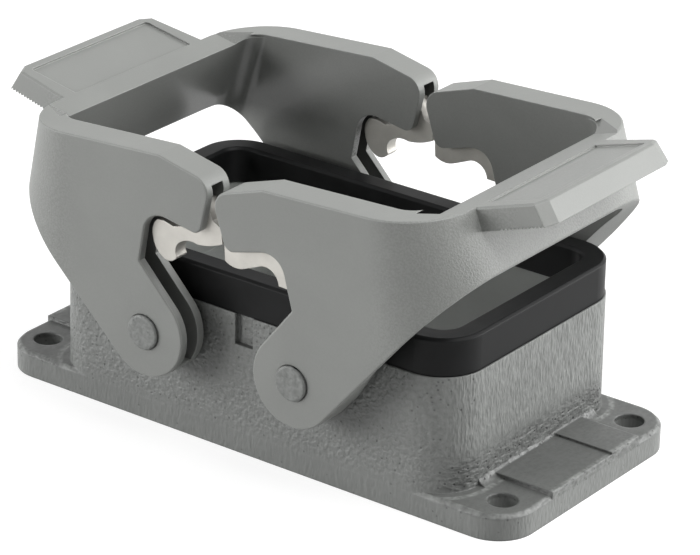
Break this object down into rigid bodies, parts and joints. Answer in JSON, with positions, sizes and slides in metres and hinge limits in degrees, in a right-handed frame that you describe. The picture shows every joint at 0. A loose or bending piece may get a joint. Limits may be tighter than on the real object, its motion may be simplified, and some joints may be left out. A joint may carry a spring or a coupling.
{
  "type": "heavy duty rectangular connector",
  "caption": "Bulkhead housing for a heavy duty rectangular connector: open rectangular body on a bolt-down flange, rubber rim seal, and two hinged locking levers that clamp a mating hood.",
  "frame": {"origin": "centre of the four flange holes in the plane of the flange's underside, which is the mounting plane", "axes": "+Z points out of the panel, +X along the long side towards the right lever, -Y is the near side in the picture"},
  "size_m": [0.0967, 0.056, 0.0489],
  "materials": {
    "housing_coat": "grey powder coat with a fine hammered texture on a die casting",
    "lever_moulding": "satin grey moulded plastic, lightly sanded outside",
    "seal_rubber": "satin black moulded rubber",
    "plate_steel": "bright matte stainless sheet with sheared edges"
  },
  "bodies": {
    "housing": {"housing": "housing_coat", "rim_seal": "seal_rubber", "flange_seal": "seal_rubber"},
    "left_lever": {"left_lever": "lever_moulding", "left_near_plate": "plate_steel", "left_far_plate": "plate_steel"},
    "right_lever": {"right_lever": "lever_moulding", "right_near_plate": "plate_steel", "right_far_plate": "plate_steel"}
  },
  "joints": [
    {"name": "left_lever_hinge", "type": "hinge", "parent": "housing", "child": "left_lever", "pos_m": [-0.0133, 0, 0.0175], "axis": [0, -1, 0], "range_deg": [0, 53]},
    {"name": "right_lever_hinge", "type": "hinge", "parent": "housing", "child": "right_lever", "pos_m": [0.0133, 0, 0.0175], "axis": [0, 1, 0], "range_deg": [0, 59]}
  ]
}
